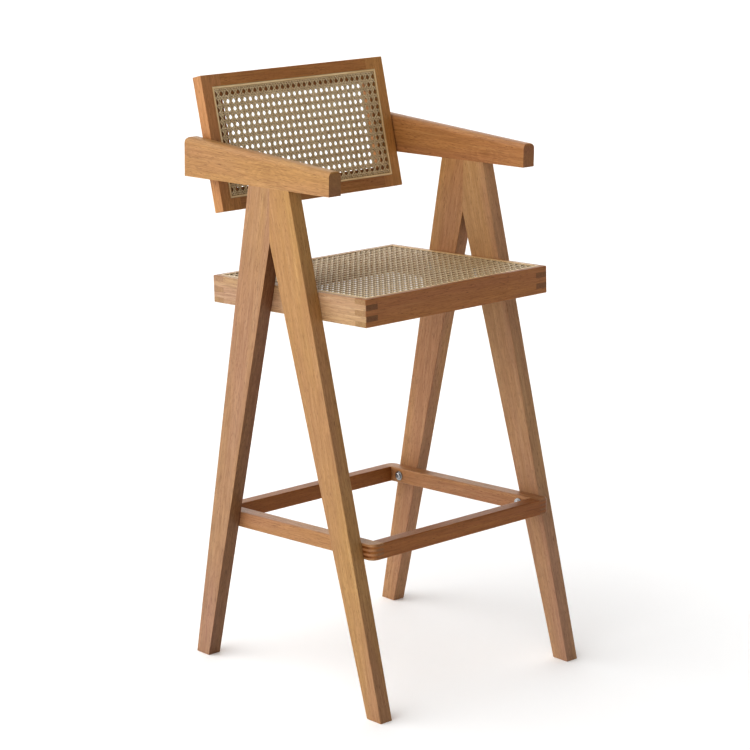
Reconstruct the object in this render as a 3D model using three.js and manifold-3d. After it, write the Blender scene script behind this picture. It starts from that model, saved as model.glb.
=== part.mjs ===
// Bar stool with arms, a cane seat, a cane backrest and a footrest ring.
// Millimetres, +Z up. The stool faces -Y, and left (-X) is as seen from in front of it.
// The origin is on the floor, under the middle of the stool.
import * as THREE from "three";
import { mergeVertices } from "three/addons/utils/BufferGeometryUtils.js";
import Module from "manifold-3d";

const wasm = await Module();
wasm.setup();

// Gap left where two glued or bolted pieces meet.
const FIT = 0.3;
const FINE = 1; // how far a cutter runs past the face it cuts

// Side frames: two legs and an arm of the same board on each side.
const BOARD = 28;
const INSIDE_WIDTH = 454; // between the two side frames
const HALF_INSIDE = INSIDE_WIDTH / 2;
const HALF_DEPTH = 275; // front toe to the backrest's rear top edge, halved
const SEAM_Y = 25.5; // where the two legs of a side meet
const CROTCH_Z = 818; // height at which the legs part
const REAR_LEG = { topY: 84, heelY: 236, toeY: 201 };
const FRONT_LEG = { topY: -24.5, heelY: -238.5, toeY: -HALF_DEPTH };

// Arms: the underside falls and the top rises towards the rear.
const ARM = {
  frontY: -130.5,
  rearY: 262,
  frontBottom: 923.5,
  rearBottom: 909.8,
  frontTop: 967,
  rearTop: 983,
  frontCorner: 6,
  rearCorner: 14,
  edgeRound: 10,
};

// Seat: a box-jointed frame that slopes back by 3 degrees.
const SEAT = {
  frontY: -195.5,
  topZ: 750,
  width: INSIDE_WIDTH - 2 * FIT,
  depth: 412,
  height: 50,
  rail: 28,
  fingers: 5,
  slope: THREE.MathUtils.degToRad(3),
};

// Backrest: a frame that leans back between the arms.
const BACK = {
  bottomZ: 850,
  width: 450,
  height: 250,
  thickness: 24,
  stile: 44,
  rail: 40,
  lean: THREE.MathUtils.degToRad(14.8),
};

// Footrest: a ring that slopes like the seat.
const RING = {
  frontY: -221,
  bottomZ: 282,
  width: INSIDE_WIDTH - 2 * FIT,
  depth: 431.6,
  height: 29,
  rail: 27,
  fingers: 7,
  corner: 15,
  slope: THREE.MathUtils.degToRad(3.1),
};

// The cane lies in a shallow rebate, and a spline in a groove around it grips its edge.
const GROOVE = { seatInset: 9, backInset: 22, width: 5, depth: 7 };
const CANE = { thickness: 2, rebate: 2.6 };
const SPLINE = { width: GROOVE.width - 2 * FIT, depth: 6, proud: 0.6 };

// Fasteners.
const BOLT = { radius: 3, length: 45 };
const HEAD = { radius: 6.2, height: 3.6, crown: 3.4, rim: 0.4, socket: 2.3, socketDepth: 2 };
const WASHER = { radius: 9.2, bore: 3.4, thickness: 1.6 };
const BOLT_HOLE = BOLT.radius + FIT;
const DOWEL = { radius: 4, armLength: 50, legLength: 36, backLength: 40 };
const ROUND_SIDES = 24;

const finish = (color, roughness, metalness = 0) => ({ color, roughness, metalness });
const FRAME_WOOD = finish(0xb07a4c, 0.5);
const CANE_STRAND = finish(0xcfb48c, 0.6);
const SPLINE_REED = finish(0xd8bd96, 0.55);
const ZINC = finish(0xb9bec2, 0.35, 1);
const DOWEL_WOOD = finish(0xd2b48c, 0.7);

// ---- Solids -------------------------------------------------------------------------------

// A closed geometry as a manifold-3d solid.
function solid(geometry) {
  const bare = geometry.clone();
  bare.deleteAttribute("normal");
  bare.deleteAttribute("uv");
  const merged = mergeVertices(bare, 1e-4);
  return new wasm.Manifold(
    new wasm.Mesh({
      numProp: 3,
      vertProperties: new Float32Array(merged.attributes.position.array),
      triVerts: new Uint32Array(merged.index.array),
    }),
  );
}

function geometryOf(body) {
  const { vertProperties, triVerts } = body.getMesh();
  const geometry = new THREE.BufferGeometry();
  geometry.setAttribute("position", new THREE.BufferAttribute(vertProperties, 3));
  geometry.setIndex(new THREE.BufferAttribute(triVerts, 1));
  const flat = geometry.toNonIndexed();
  flat.computeVertexNormals();
  return flat;
}

function outline(points) {
  return new THREE.Shape(points.map(([a, b]) => new THREE.Vector2(a, b)));
}

function extrude(shape, depth) {
  return new THREE.ExtrudeGeometry(shape, { depth, bevelEnabled: false, curveSegments: 8 });
}

// A box given by its lowest and highest corners.
function box(low, high) {
  const size = high.map((value, i) => value - low[i]);
  const middle = high.map((value, i) => (value + low[i]) / 2);
  return solid(new THREE.BoxGeometry(...size).translate(...middle));
}

// A board whose outline is drawn in (y, z), standing in the YZ plane from x = start.
function sideBoard(shape, thickness, start) {
  const along = new THREE.Matrix4().makeBasis(
    new THREE.Vector3(0, 1, 0),
    new THREE.Vector3(0, 0, 1),
    new THREE.Vector3(1, 0, 0),
  );
  return solid(extrude(shape, thickness).applyMatrix4(along).translate(start, 0, 0));
}

// A cylinder along x, y or z from one point, `length` long.
function rod(radius, length, axis, [x, y, z]) {
  const cylinder = new THREE.CylinderGeometry(radius, radius, length, ROUND_SIDES);
  cylinder.translate(0, length / 2, 0);
  if (axis === "x") cylinder.rotateZ(-Math.PI / 2);
  if (axis === "z") cylinder.rotateX(Math.PI / 2);
  return solid(cylinder.translate(x, y, z));
}

function cut(body, cutters) {
  return cutters.reduce((left, cutter) => left.subtract(cutter), body);
}

function piece(parent, name, body, look) {
  const mesh = new THREE.Mesh(geometryOf(body), new THREE.MeshStandardMaterial(look));
  mesh.name = name;
  parent.add(mesh);
}

const stool = new THREE.Group();

function group(y, z, turn) {
  const held = new THREE.Group();
  held.position.set(0, y, z);
  held.rotation.x = turn;
  stool.add(held);
  return held;
}

// ---- Where the bolts go -------------------------------------------------------------------

const armBottomAt = (y) =>
  ARM.frontBottom +
  ((y - ARM.frontY) / (ARM.rearY - ARM.frontY)) * (ARM.rearBottom - ARM.frontBottom);

// The middle of a leg, front to back, at a height.
function legMiddle(leg, z) {
  const top = armBottomAt(leg.topY);
  const outer = leg.topY + ((top - z) / top) * ((leg === REAR_LEG ? leg.heelY : leg.toeY) - leg.topY);
  const innerFoot = leg === REAR_LEG ? leg.toeY : leg.heelY;
  const inner = SEAM_Y + ((CROTCH_Z - z) / CROTCH_Z) * (innerFoot - SEAM_Y);
  return (outer + inner) / 2;
}

// Height of the middle of a sloping rail at y.
const seatRailMiddle = (y) => SEAT.topZ - SEAT.height / 2 - (y - SEAT.frontY) * Math.tan(SEAT.slope);
const ringRailMiddle = (y) => RING.bottomZ + RING.height / 2 - (y - RING.frontY) * Math.tan(RING.slope);

// Where a rail's middle line crosses a leg's.
function crossing(leg, railMiddle) {
  let y = legMiddle(leg, railMiddle(0));
  for (let step = 0; step < 6; step++) y = legMiddle(leg, railMiddle(y));
  return { y, z: railMiddle(y) };
}

const LEGS = { front: FRONT_LEG, rear: REAR_LEG };
const SIDES = { left: -1, right: 1 };
const seatBolts = { front: crossing(FRONT_LEG, seatRailMiddle), rear: crossing(REAR_LEG, seatRailMiddle) };
const ringBolts = { front: crossing(FRONT_LEG, ringRailMiddle), rear: crossing(REAR_LEG, ringRailMiddle) };

// The footrest's bolts sit nearer to the stool's middle than the legs' own middles.
const RING_BOLT_SHIFT = 5;
for (const [end, toward] of Object.entries({ front: 1, rear: -1 })) {
  ringBolts[end].y += toward * RING_BOLT_SHIFT;
  ringBolts[end].z = ringRailMiddle(ringBolts[end].y);
}

// A hole along x through everything from `inner` outwards on one side.
function boltHole(side, inner, length, at) {
  const start = side > 0 ? inner : -inner - length;
  return rod(BOLT_HOLE, length, "x", [start, at.y, at.z]);
}

// ---- Legs and arms ------------------------------------------------------------------------

const ARM_DOWEL_Y = { front: 2, rear: 54 }; // one into the top of each leg
const LEG_DOWEL_Z = 868; // halfway up the seam of the two legs

function armDowel(side, end, grow = 0) {
  const y = ARM_DOWEL_Y[end];
  const length = DOWEL.armLength + 2 * grow;
  const x = side * (HALF_INSIDE + BOARD / 2);
  return rod(DOWEL.radius + grow, length, "z", [x, y, armBottomAt(y) - length / 2]);
}

function legDowel(side, grow = 0) {
  const length = DOWEL.legLength + 2 * grow;
  const x = side * (HALF_INSIDE + BOARD / 2);
  return rod(DOWEL.radius + grow, length, "y", [x, SEAM_Y - length / 2, LEG_DOWEL_Z]);
}

function legOutline(leg) {
  const seam = SEAM_Y + (leg === REAR_LEG ? FIT / 2 : -FIT / 2);
  const innerFoot = leg === REAR_LEG ? leg.toeY : leg.heelY;
  const outerFoot = leg === REAR_LEG ? leg.heelY : leg.toeY;
  return outline([
    [leg.topY, armBottomAt(leg.topY) - FIT],
    [outerFoot, 0],
    [innerFoot, 0],
    [seam, CROTCH_Z],
    [seam, armBottomAt(seam) - FIT],
  ]);
}

function armOutline() {
  const { frontY, rearY, frontBottom, rearBottom, frontTop, rearTop, frontCorner, rearCorner } = ARM;
  const rise = (rearTop - frontTop) / (rearY - frontY);
  const shape = new THREE.Shape();
  shape.moveTo(frontY, frontBottom);
  shape.lineTo(rearY, rearBottom);
  shape.lineTo(rearY, rearTop - rearCorner);
  shape.quadraticCurveTo(rearY, rearTop, rearY - rearCorner, rearTop - rise * rearCorner);
  shape.lineTo(frontY + frontCorner, frontTop + rise * frontCorner);
  shape.quadraticCurveTo(frontY, frontTop, frontY, frontTop - frontCorner);
  return shape;
}

// A long bar with rounded top edges, lying under the arm's top line; it trims the arm's edges.
function armTrimmer(start) {
  const { frontY, rearY, frontTop, rearTop, edgeRound } = ARM;
  const reach = 200; // well past the arm's ends and underside
  const section = new THREE.Shape();
  section.moveTo(0, -reach);
  section.lineTo(BOARD, -reach);
  section.lineTo(BOARD, -edgeRound);
  section.absarc(BOARD - edgeRound, -edgeRound, edgeRound, 0, Math.PI / 2);
  section.lineTo(edgeRound, 0);
  section.absarc(edgeRound, -edgeRound, edgeRound, Math.PI / 2, Math.PI);
  const run = rearY - frontY;
  const bar = extrude(section, run + 2 * reach).translate(0, 0, -reach);
  // The extrusion runs towards -Y, so it is turned to start at the rear.
  bar.rotateX(Math.PI / 2).translate(0, run, 0);
  bar.rotateX(Math.atan2(rearTop - frontTop, run)).translate(start, frontY, frontTop);
  return solid(bar);
}

for (const [sideName, side] of Object.entries(SIDES)) {
  const start = side > 0 ? HALF_INSIDE : -HALF_INSIDE - BOARD;
  const holeDepth = BOLT.length - SEAT.rail + FINE;
  for (const [end, leg] of Object.entries(LEGS)) {
    const boltsHere = [seatBolts[end], ringBolts[end]];
    const holes = boltsHere.map((at) => boltHole(side, HALF_INSIDE - FINE, holeDepth, at));
    const dowels = [armDowel(side, end, FIT), legDowel(side, FIT)];
    const board = cut(sideBoard(legOutline(leg), BOARD, start), [...holes, ...dowels]);
    piece(stool, `leg_${end}_${sideName}`, board, FRAME_WOOD);
    piece(stool, `arm_dowel_${end}_${sideName}`, armDowel(side, end), DOWEL_WOOD);
  }
  piece(stool, `leg_dowel_${sideName}`, legDowel(side), DOWEL_WOOD);
}

// ---- Frames with a groove and a cane ------------------------------------------------------

// A rail's outline seen face on: fingers at both ends, in the odd or the even bands from the top.
function fingerOutline(length, height, notch, fingers, odd) {
  const band = height / fingers;
  const right = [];
  for (let i = 0; i < fingers; i++) {
    const long = (i % 2 === 0) === odd;
    const end = long ? length / 2 : length / 2 - notch - FIT;
    const upper = i === 0 ? 0 : -i * band - (long ? FIT / 2 : -FIT / 2);
    const lower = i === fingers - 1 ? -height : -(i + 1) * band + (long ? FIT / 2 : -FIT / 2);
    right.push([end, upper], [end, lower]);
  }
  const left = right.map(([a, b]) => [-a, b]).reverse();
  return outline([...left, ...right].reverse());
}

// A frame lies in its own XY plane with its top face at z = 0, its front edge at y = 0.
// A rail that runs along x, its outer face at y = outer.
function railAlongX(shape, thickness, outer) {
  return solid(extrude(shape, thickness).rotateX(Math.PI / 2).translate(0, outer + thickness, 0));
}

// A rail that runs along y, from x = start, centred on y = middle.
function railAlongY(shape, thickness, start, middle) {
  return sideBoard(shape, thickness, start).translate([0, middle, 0]);
}

// The groove for the spline and the rebate for the cane, in a frame of this width and depth.
function grooveCutters(width, depth, inset) {
  const half = width / 2;
  const inner = inset + GROOVE.width;
  const ring = box([-half + inset, inset, -GROOVE.depth], [half - inset, depth - inset, FINE]).subtract(
    box([-half + inner, inner, -2 * GROOVE.depth], [half - inner, depth - inner, 2 * FINE]),
  );
  const edge = inner - FIT;
  const rebate = box([-half + edge, edge, -CANE.rebate], [half - edge, depth - edge, FINE]);
  return [ring, rebate];
}

function canePanel(width, depth, inset) {
  const edge = inset + GROOVE.width + FIT;
  const top = CANE.thickness - CANE.rebate + FIT;
  return box([-width / 2 + edge, edge, top - CANE.thickness], [width / 2 - edge, depth - edge, top]);
}

// One mitred spline strip of a rectangle, drawn along its front edge, then turned to its place.
function splines(width, depth, inset) {
  const edge = inset + FIT;
  const halfWidth = width / 2 - edge;
  const halfDepth = depth / 2 - edge;
  const strip = (reach, away) => {
    const outer = reach - FIT;
    const shape = outline([
      [-outer, -away],
      [outer, -away],
      [outer - SPLINE.width, -away + SPLINE.width],
      [-outer + SPLINE.width, -away + SPLINE.width],
    ]);
    return solid(extrude(shape, SPLINE.depth).translate(0, 0, SPLINE.proud - SPLINE.depth));
  };
  const placed = (body, degrees) => body.rotate([0, 0, degrees]).translate([0, depth / 2, 0]);
  return {
    front: placed(strip(halfWidth, halfDepth), 0),
    right: placed(strip(halfDepth, halfWidth), 90),
    rear: placed(strip(halfWidth, halfDepth), 180),
    left: placed(strip(halfDepth, halfWidth), 270),
  };
}

// ---- Seat ---------------------------------------------------------------------------------

const seat = group(SEAT.frontY, SEAT.topZ, -SEAT.slope);

// A point of the stool, in the frame of a group that is turned about x.
function within(held, at) {
  const local = new THREE.Vector3(0, at.y, at.z).sub(held.position);
  return local.applyAxisAngle(new THREE.Vector3(1, 0, 0), -held.rotation.x);
}

function railHole(held, side, inner, at) {
  const local = within(held, at);
  return boltHole(side, inner - FINE, SEAT.rail + 2 * FINE, local);
}

{
  const { width, depth, height, rail, fingers } = SEAT;
  const cutters = grooveCutters(width, depth, GROOVE.seatInset);
  const across = fingerOutline(width, height, rail, fingers, true);
  const along = fingerOutline(depth, height, rail, fingers, false);
  const inner = width / 2 - rail;
  const rails = {
    front: railAlongX(across, rail, 0),
    rear: railAlongX(across, rail, depth - rail),
    left: cut(
      railAlongY(along, rail, -width / 2, depth / 2),
      Object.values(seatBolts).map((at) => railHole(seat, -1, inner, at)),
    ),
    right: cut(
      railAlongY(along, rail, inner, depth / 2),
      Object.values(seatBolts).map((at) => railHole(seat, 1, inner, at)),
    ),
  };
  for (const [name, body] of Object.entries(rails)) {
    piece(seat, `seat_rail_${name}`, cut(body, cutters), FRAME_WOOD);
  }
  piece(seat, "seat_cane", canePanel(width, depth, GROOVE.seatInset), CANE_STRAND);
  for (const [name, body] of Object.entries(splines(width, depth, GROOVE.seatInset))) {
    piece(seat, `seat_spline_${name}`, body, SPLINE_REED);
  }
}

// ---- Backrest -----------------------------------------------------------------------------

// The frame's own top face is the backrest's front, so the group stands it up and leans it back.
const backFootY = HALF_DEPTH - BACK.height * Math.sin(BACK.lean) - BACK.thickness * Math.cos(BACK.lean);
const back = group(backFootY, BACK.bottomZ, Math.PI / 2 - BACK.lean);

const backDowels = { lower: 84, upper: 116 }; // distances up the backrest

function backDowelAt(distance) {
  const local = new THREE.Vector3(0, distance, -BACK.thickness / 2);
  return local.applyAxisAngle(new THREE.Vector3(1, 0, 0), back.rotation.x).add(back.position);
}

function backDowel(side, distance, grow = 0) {
  const { y, z } = backDowelAt(distance);
  const length = DOWEL.backLength + 2 * grow;
  const middle = side * HALF_INSIDE;
  return rod(DOWEL.radius + grow, length, "x", [middle - length / 2, y, z]);
}

{
  const { width, height, thickness, stile: stileWidth, rail: railWidth } = BACK;
  const half = width / 2;
  const cutters = grooveCutters(width, height, GROOVE.backInset);
  const innerEdge = half - stileWidth;
  const stileDowelHole = (side, distance) => {
    const length = DOWEL.backLength + 2 * FIT;
    const start = side * HALF_INSIDE - length / 2;
    return rod(DOWEL.radius + FIT, length, "x", [start, distance, -thickness / 2]);
  };
  const stile = (side) => {
    const low = side > 0 ? innerEdge : -half;
    const holes = Object.values(backDowels).map((distance) => stileDowelHole(side, distance));
    return cut(box([low, 0, -thickness], [low + stileWidth, height, 0]), [...holes, ...cutters]);
  };
  const rail = (bottom) => {
    const reach = innerEdge - FIT;
    return cut(box([-reach, bottom, -thickness], [reach, bottom + railWidth, 0]), cutters);
  };
  piece(back, "back_stile_left", stile(-1), FRAME_WOOD);
  piece(back, "back_stile_right", stile(1), FRAME_WOOD);
  piece(back, "back_rail_top", rail(height - railWidth), FRAME_WOOD);
  piece(back, "back_rail_bottom", rail(0), FRAME_WOOD);
  piece(back, "back_cane", canePanel(width, height, GROOVE.backInset), CANE_STRAND);
  const names = { front: "bottom", rear: "top", left: "left", right: "right" };
  for (const [edge, body] of Object.entries(splines(width, height, GROOVE.backInset))) {
    piece(back, `back_spline_${names[edge]}`, body, SPLINE_REED);
  }
}

for (const [sideName, side] of Object.entries(SIDES)) {
  const start = side > 0 ? HALF_INSIDE : -HALF_INSIDE - BOARD;
  const holes = [
    armDowel(side, "front", FIT),
    armDowel(side, "rear", FIT),
    ...Object.values(backDowels).map((distance) => backDowel(side, distance, FIT)),
  ];
  const arm = sideBoard(armOutline(), BOARD, start).intersect(armTrimmer(start));
  piece(stool, `arm_${sideName}`, cut(arm, holes), FRAME_WOOD);
  for (const [level, distance] of Object.entries(backDowels)) {
    piece(stool, `back_dowel_${level}_${sideName}`, backDowel(side, distance), DOWEL_WOOD);
  }
}

// ---- Footrest -----------------------------------------------------------------------------

// The ring's own frame has its top face at z = 0, like the seat's.
const ring = group(
  RING.frontY + RING.height * Math.sin(RING.slope),
  RING.bottomZ + RING.height * Math.cos(RING.slope),
  -RING.slope,
);

// The ring seen from above, solid in the middle, with its outer corners rounded.
function ringBlank() {
  const { width, depth, height, corner } = RING;
  const half = width / 2;
  const shape = new THREE.Shape();
  shape.moveTo(-half + corner, 0);
  shape.lineTo(half - corner, 0);
  shape.absarc(half - corner, corner, corner, -Math.PI / 2, 0);
  shape.lineTo(half, depth - corner);
  shape.absarc(half - corner, depth - corner, corner, 0, Math.PI / 2);
  shape.lineTo(-half + corner, depth);
  shape.absarc(-half + corner, depth - corner, corner, Math.PI / 2, Math.PI);
  shape.lineTo(-half, corner);
  shape.absarc(-half + corner, corner, corner, Math.PI, 1.5 * Math.PI);
  return solid(extrude(shape, height + 2 * FINE).translate(0, 0, -height - FINE));
}

{
  const { width, depth, height, rail, fingers } = RING;
  const across = fingerOutline(width, height, rail, fingers, false);
  const along = fingerOutline(depth, height, rail, fingers, true);
  const inner = width / 2 - rail;
  const rails = {
    front: railAlongX(across, rail, 0),
    rear: railAlongX(across, rail, depth - rail),
    left: cut(
      railAlongY(along, rail, -width / 2, depth / 2),
      Object.values(ringBolts).map((at) => railHole(ring, -1, inner, at)),
    ),
    right: cut(
      railAlongY(along, rail, inner, depth / 2),
      Object.values(ringBolts).map((at) => railHole(ring, 1, inner, at)),
    ),
  };
  for (const [name, body] of Object.entries(rails)) {
    piece(ring, `footrest_rail_${name}`, body.intersect(ringBlank()), FRAME_WOOD);
  }
}

// ---- Bolts and washers --------------------------------------------------------------------

// Both are turned about +Z, which points along the bolt away from its head.
function boltBody() {
  const head = new THREE.Path();
  head.moveTo(0, -HEAD.height);
  head.lineTo(HEAD.crown, -HEAD.height);
  head.quadraticCurveTo(HEAD.radius, -HEAD.height, HEAD.radius, -HEAD.rim);
  head.lineTo(HEAD.radius, 0);
  head.lineTo(BOLT.radius, 0);
  head.lineTo(BOLT.radius, BOLT.length);
  head.lineTo(0, BOLT.length);
  const turned = new THREE.LatheGeometry(head.getPoints(5), ROUND_SIDES).rotateX(Math.PI / 2);
  const key = new THREE.CylinderGeometry(HEAD.socket, HEAD.socket, 2 * HEAD.socketDepth, 6);
  key.rotateX(Math.PI / 2).translate(0, 0, -HEAD.height);
  return { turned, key };
}

function washerBody() {
  const { radius, bore, thickness } = WASHER;
  const section = [
    [bore, 0],
    [radius, 0],
    [radius, thickness],
    [bore, thickness],
    [bore, 0],
  ].map(([r, h]) => new THREE.Vector2(r, h));
  return new THREE.LatheGeometry(section, ROUND_SIDES).rotateX(Math.PI / 2);
}

// A geometry whose faces point inwards is turned the right way round.
function outward(geometry) {
  const plain = geometry.clone();
  const corners = plain.index.array;
  for (let i = 0; i < corners.length; i += 3) {
    [corners[i + 1], corners[i + 2]] = [corners[i + 2], corners[i + 1]];
  }
  return plain;
}

function asSolid(geometry) {
  const body = solid(geometry);
  return body.volume() > 0 ? body : solid(outward(geometry));
}

// Points +Z outwards along +X or -X.
function fastenerBasis(side, x, at) {
  const out = new THREE.Vector3(side, 0, 0);
  const up = new THREE.Vector3(0, 0, 1);
  const turn = new THREE.Matrix4().makeBasis(new THREE.Vector3().crossVectors(up, out), up, out);
  return turn.setPosition(x, at.y, at.z);
}

function fastener(prefix, end, sideName, innerFace, at) {
  const side = SIDES[sideName];
  const washerFace = side * (innerFace - FIT);
  const headFace = side * (innerFace - 2 * FIT - WASHER.thickness);
  const { turned, key } = boltBody();
  const boltPlace = fastenerBasis(side, headFace, at);
  const bolt = asSolid(turned.applyMatrix4(boltPlace)).subtract(asSolid(key.applyMatrix4(boltPlace)));
  const washerPlace = fastenerBasis(-side, washerFace, at);
  piece(stool, `${prefix}_bolt_${end}_${sideName}`, bolt, ZINC);
  const washer = asSolid(washerBody().applyMatrix4(washerPlace));
  piece(stool, `${prefix}_washer_${end}_${sideName}`, washer, ZINC);
}

for (const sideName of Object.keys(SIDES)) {
  for (const end of Object.keys(LEGS)) {
    fastener("seat", end, sideName, SEAT.width / 2 - SEAT.rail, seatBolts[end]);
    fastener("footrest", end, sideName, RING.width / 2 - RING.rail, ringBolts[end]);
  }
}

export default stool;
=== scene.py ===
"""Bar stool: oiled boards, finger joints, woven cane, splines and bolts, in a white studio.

Lengths are in millimetres until a piece is finished, and then in metres, as in the frame.
"""

import math
import random

import bmesh
import bpy
from mathutils import Matrix, Vector


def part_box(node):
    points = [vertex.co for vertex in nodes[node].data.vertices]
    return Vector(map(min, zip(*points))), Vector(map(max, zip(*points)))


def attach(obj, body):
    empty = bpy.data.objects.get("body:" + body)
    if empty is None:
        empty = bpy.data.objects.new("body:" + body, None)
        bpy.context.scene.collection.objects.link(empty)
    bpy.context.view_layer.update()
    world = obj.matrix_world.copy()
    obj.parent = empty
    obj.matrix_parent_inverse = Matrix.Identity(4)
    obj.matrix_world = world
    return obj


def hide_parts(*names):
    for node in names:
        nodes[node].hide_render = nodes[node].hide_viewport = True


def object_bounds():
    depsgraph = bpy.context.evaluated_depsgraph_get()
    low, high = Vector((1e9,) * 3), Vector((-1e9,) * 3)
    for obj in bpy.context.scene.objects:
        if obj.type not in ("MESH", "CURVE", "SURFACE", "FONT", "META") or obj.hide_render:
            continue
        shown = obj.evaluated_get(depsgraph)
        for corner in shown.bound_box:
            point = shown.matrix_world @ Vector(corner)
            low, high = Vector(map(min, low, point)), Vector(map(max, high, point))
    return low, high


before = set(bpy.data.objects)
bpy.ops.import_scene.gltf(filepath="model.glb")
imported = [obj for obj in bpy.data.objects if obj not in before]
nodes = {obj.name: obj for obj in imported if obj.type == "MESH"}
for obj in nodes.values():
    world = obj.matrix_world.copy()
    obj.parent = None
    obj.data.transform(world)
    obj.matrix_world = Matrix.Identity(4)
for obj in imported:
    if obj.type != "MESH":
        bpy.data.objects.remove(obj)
cad_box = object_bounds()

MM = 0.001
SIDES = {"left": -1, "right": 1}
ENDS = ("front", "rear")
X, Y, Z = (1, 0, 0), (0, 1, 0), (0, 0, 1)

# ---- The stool's sizes -----------------------------------------------------------------

SEAM_Y = 25.5  # where the two legs of a side meet
JOINT_GAP = 0.3  # the gap that the frame leaves between glued pieces

SEAT = dict(
    front=(-195.5, 750.0), slope=math.radians(3), width=453.9, depth=412.0, height=50.0,
    stile=28.0, rail=28.0, fingers=5, across_first=True, corner=1.6, edge=1.3, groove=9.0,
    first_hole=(15.2, 20.5),  # the cane's first hole, from the panel's left and far edges
)
RING = dict(
    front=(-221.0, 282.0), slope=math.radians(3.1), width=453.9, depth=431.6, height=29.0,
    stile=27.0, rail=27.0, fingers=7, across_first=False, corner=15.0, edge=2.2, groove=None,
)
BACK = dict(
    bottom=850.0, lean=math.radians(14.8), width=450.0, depth=250.0, height=24.0,
    stile=44.0, rail=40.0, corner=1.2, edge=1.1, groove=22.0,
    first_hole=(28.3, 37.0),
)
GROOVE_WIDTH = 5.0
GROOVE_DEPTH = 7.0
REBATE = 3.0  # how far the lip behind the cane lies under the face of the frame
OVER = 6.0  # how far a cutting block reaches past the wood that it cuts

# The cane's mesh: the spacing of its holes across and along a panel.
PITCH_ACROSS = 13.5
PITCH_ALONG = 14.6


def tilted(y, z, turn):
    """The place of a panel that is turned about X, its near edge at (y, z)."""
    return Matrix.Translation((0, y, z)) @ Matrix.Rotation(turn, 4, "X")


half_depth = cad_box[1].y / MM
back_reach = BACK["depth"] * math.sin(BACK["lean"]) + BACK["height"] * math.cos(BACK["lean"])
seat_place = tilted(*SEAT["front"], -SEAT["slope"])
ring_place = tilted(
    RING["front"][0] + RING["height"] * math.sin(RING["slope"]),
    RING["front"][1] + RING["height"] * math.cos(RING["slope"]),
    -RING["slope"],
)
back_place = tilted(half_depth - back_reach, BACK["bottom"], math.pi / 2 - BACK["lean"])


# ---- Materials ---------------------------------------------------------------------------


MIX_INPUTS = (0, 6, 7)  # a Mix node's sockets for its factor and its two colours
MIX_OUTPUT = 2


class Shader:
    """A material's node tree, with short calls for the nodes that it needs."""

    def __init__(self, name):
        self.material = bpy.data.materials.new(name)
        self.material.use_nodes = True
        self.tree = self.material.node_tree
        self.surface = self.tree.nodes["Principled BSDF"]

    def node(self, kind, inputs=None, **settings):
        made = self.tree.nodes.new(kind)
        for key, value in settings.items():
            setattr(made, key, value)
        for key, value in (inputs or {}).items():
            self.put(made.inputs[key], value)
        return made

    def put(self, socket, value):
        if isinstance(value, bpy.types.NodeSocket):
            self.tree.links.new(value, socket)
        else:
            socket.default_value = value

    def attribute(self, name, output="Vector"):
        return self.node("ShaderNodeAttribute", attribute_name=name).outputs[output]

    def math(self, operation, a, b=0.0):
        return self.node("ShaderNodeMath", {0: a, 1: b}, operation=operation).outputs[0]

    def length(self, a, b):
        squares = self.math("ADD", self.math("MULTIPLY", a, a), self.math("MULTIPLY", b, b))
        return self.math("SQRT", squares)

    def noise(self, vector, waves, detail=2.0, roughness=0.5):
        """Noise with so many waves to a metre along each axis of the vector."""
        product = self.node("ShaderNodeVectorMath", {0: vector, 1: waves}, operation="MULTIPLY")
        inputs = {"Scale": 1.0, "Detail": detail, "Roughness": roughness}
        return self.node("ShaderNodeTexNoise", {"Vector": product.outputs[0], **inputs}).outputs[0]

    def remap(self, value, low, high, to_low=0.0, to_high=1.0):
        limits = {"From Min": low, "From Max": high, "To Min": to_low, "To Max": to_high}
        inputs = {"Value": value, **limits}
        return self.node("ShaderNodeMapRange", inputs, interpolation_type="SMOOTHSTEP").outputs[0]

    def mix(self, factor, a, b, blend="MIX"):
        made = self.node("ShaderNodeMix", data_type="RGBA", blend_type=blend, clamp_factor=True)
        for index, value in zip(MIX_INPUTS, (factor, a, b)):
            self.put(made.inputs[index], value)
        return made.outputs[MIX_OUTPUT]

    def bump(self, height, distance, strength):
        inputs = {"Height": height, "Distance": distance, "Strength": strength}
        return self.node("ShaderNodeBump", inputs).outputs[0]

    def finish(self, **inputs):
        for key, value in inputs.items():
            self.put(self.surface.inputs[key.replace("_", " ")], value)
        return self.material


def rgb(red, green, blue):
    """A colour given in sRGB steps of 0 to 255, as the linear colour that a shader takes."""

    def linear(step):
        value = step / 255
        return value / 12.92 if value <= 0.04045 else ((value + 0.055) / 1.055) ** 2.4

    return (linear(red), linear(green), linear(blue), 1.0)


WOOD_GOLD = rgb(179, 137, 84)
WOOD_ROSE = rgb(171, 127, 88)
WOOD_PALE = rgb(196, 162, 113)
WOOD_RING = rgb(132, 92, 54)
WOOD_DARK = rgb(84, 50, 26)

# The wood's patterns, in waves to a metre along, across and through a board.
WARP_WAVES = (3.2, 20, 20)
PATCH_WAVES = (2.0, 15, 15)
STREAK_WAVES = (6, 150, 150)
FIBRE_WAVES = (26, 900, 900)
PORE_WAVES = (95, 1250, 1250)

# In metres: the growth rings' spacing, and what bends them.
RING_SPACING = 0.0068
RING_WARP = 0.024
RING_TAPER = 0.03  # to a metre along the board
KNOT_SWELL = 0.022
KNOT_REACH = 3.2  # how far a knot bends the rings, in knot widths
KNOT_SLENDER = 0.6  # a knot's width as a share of its length


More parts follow.
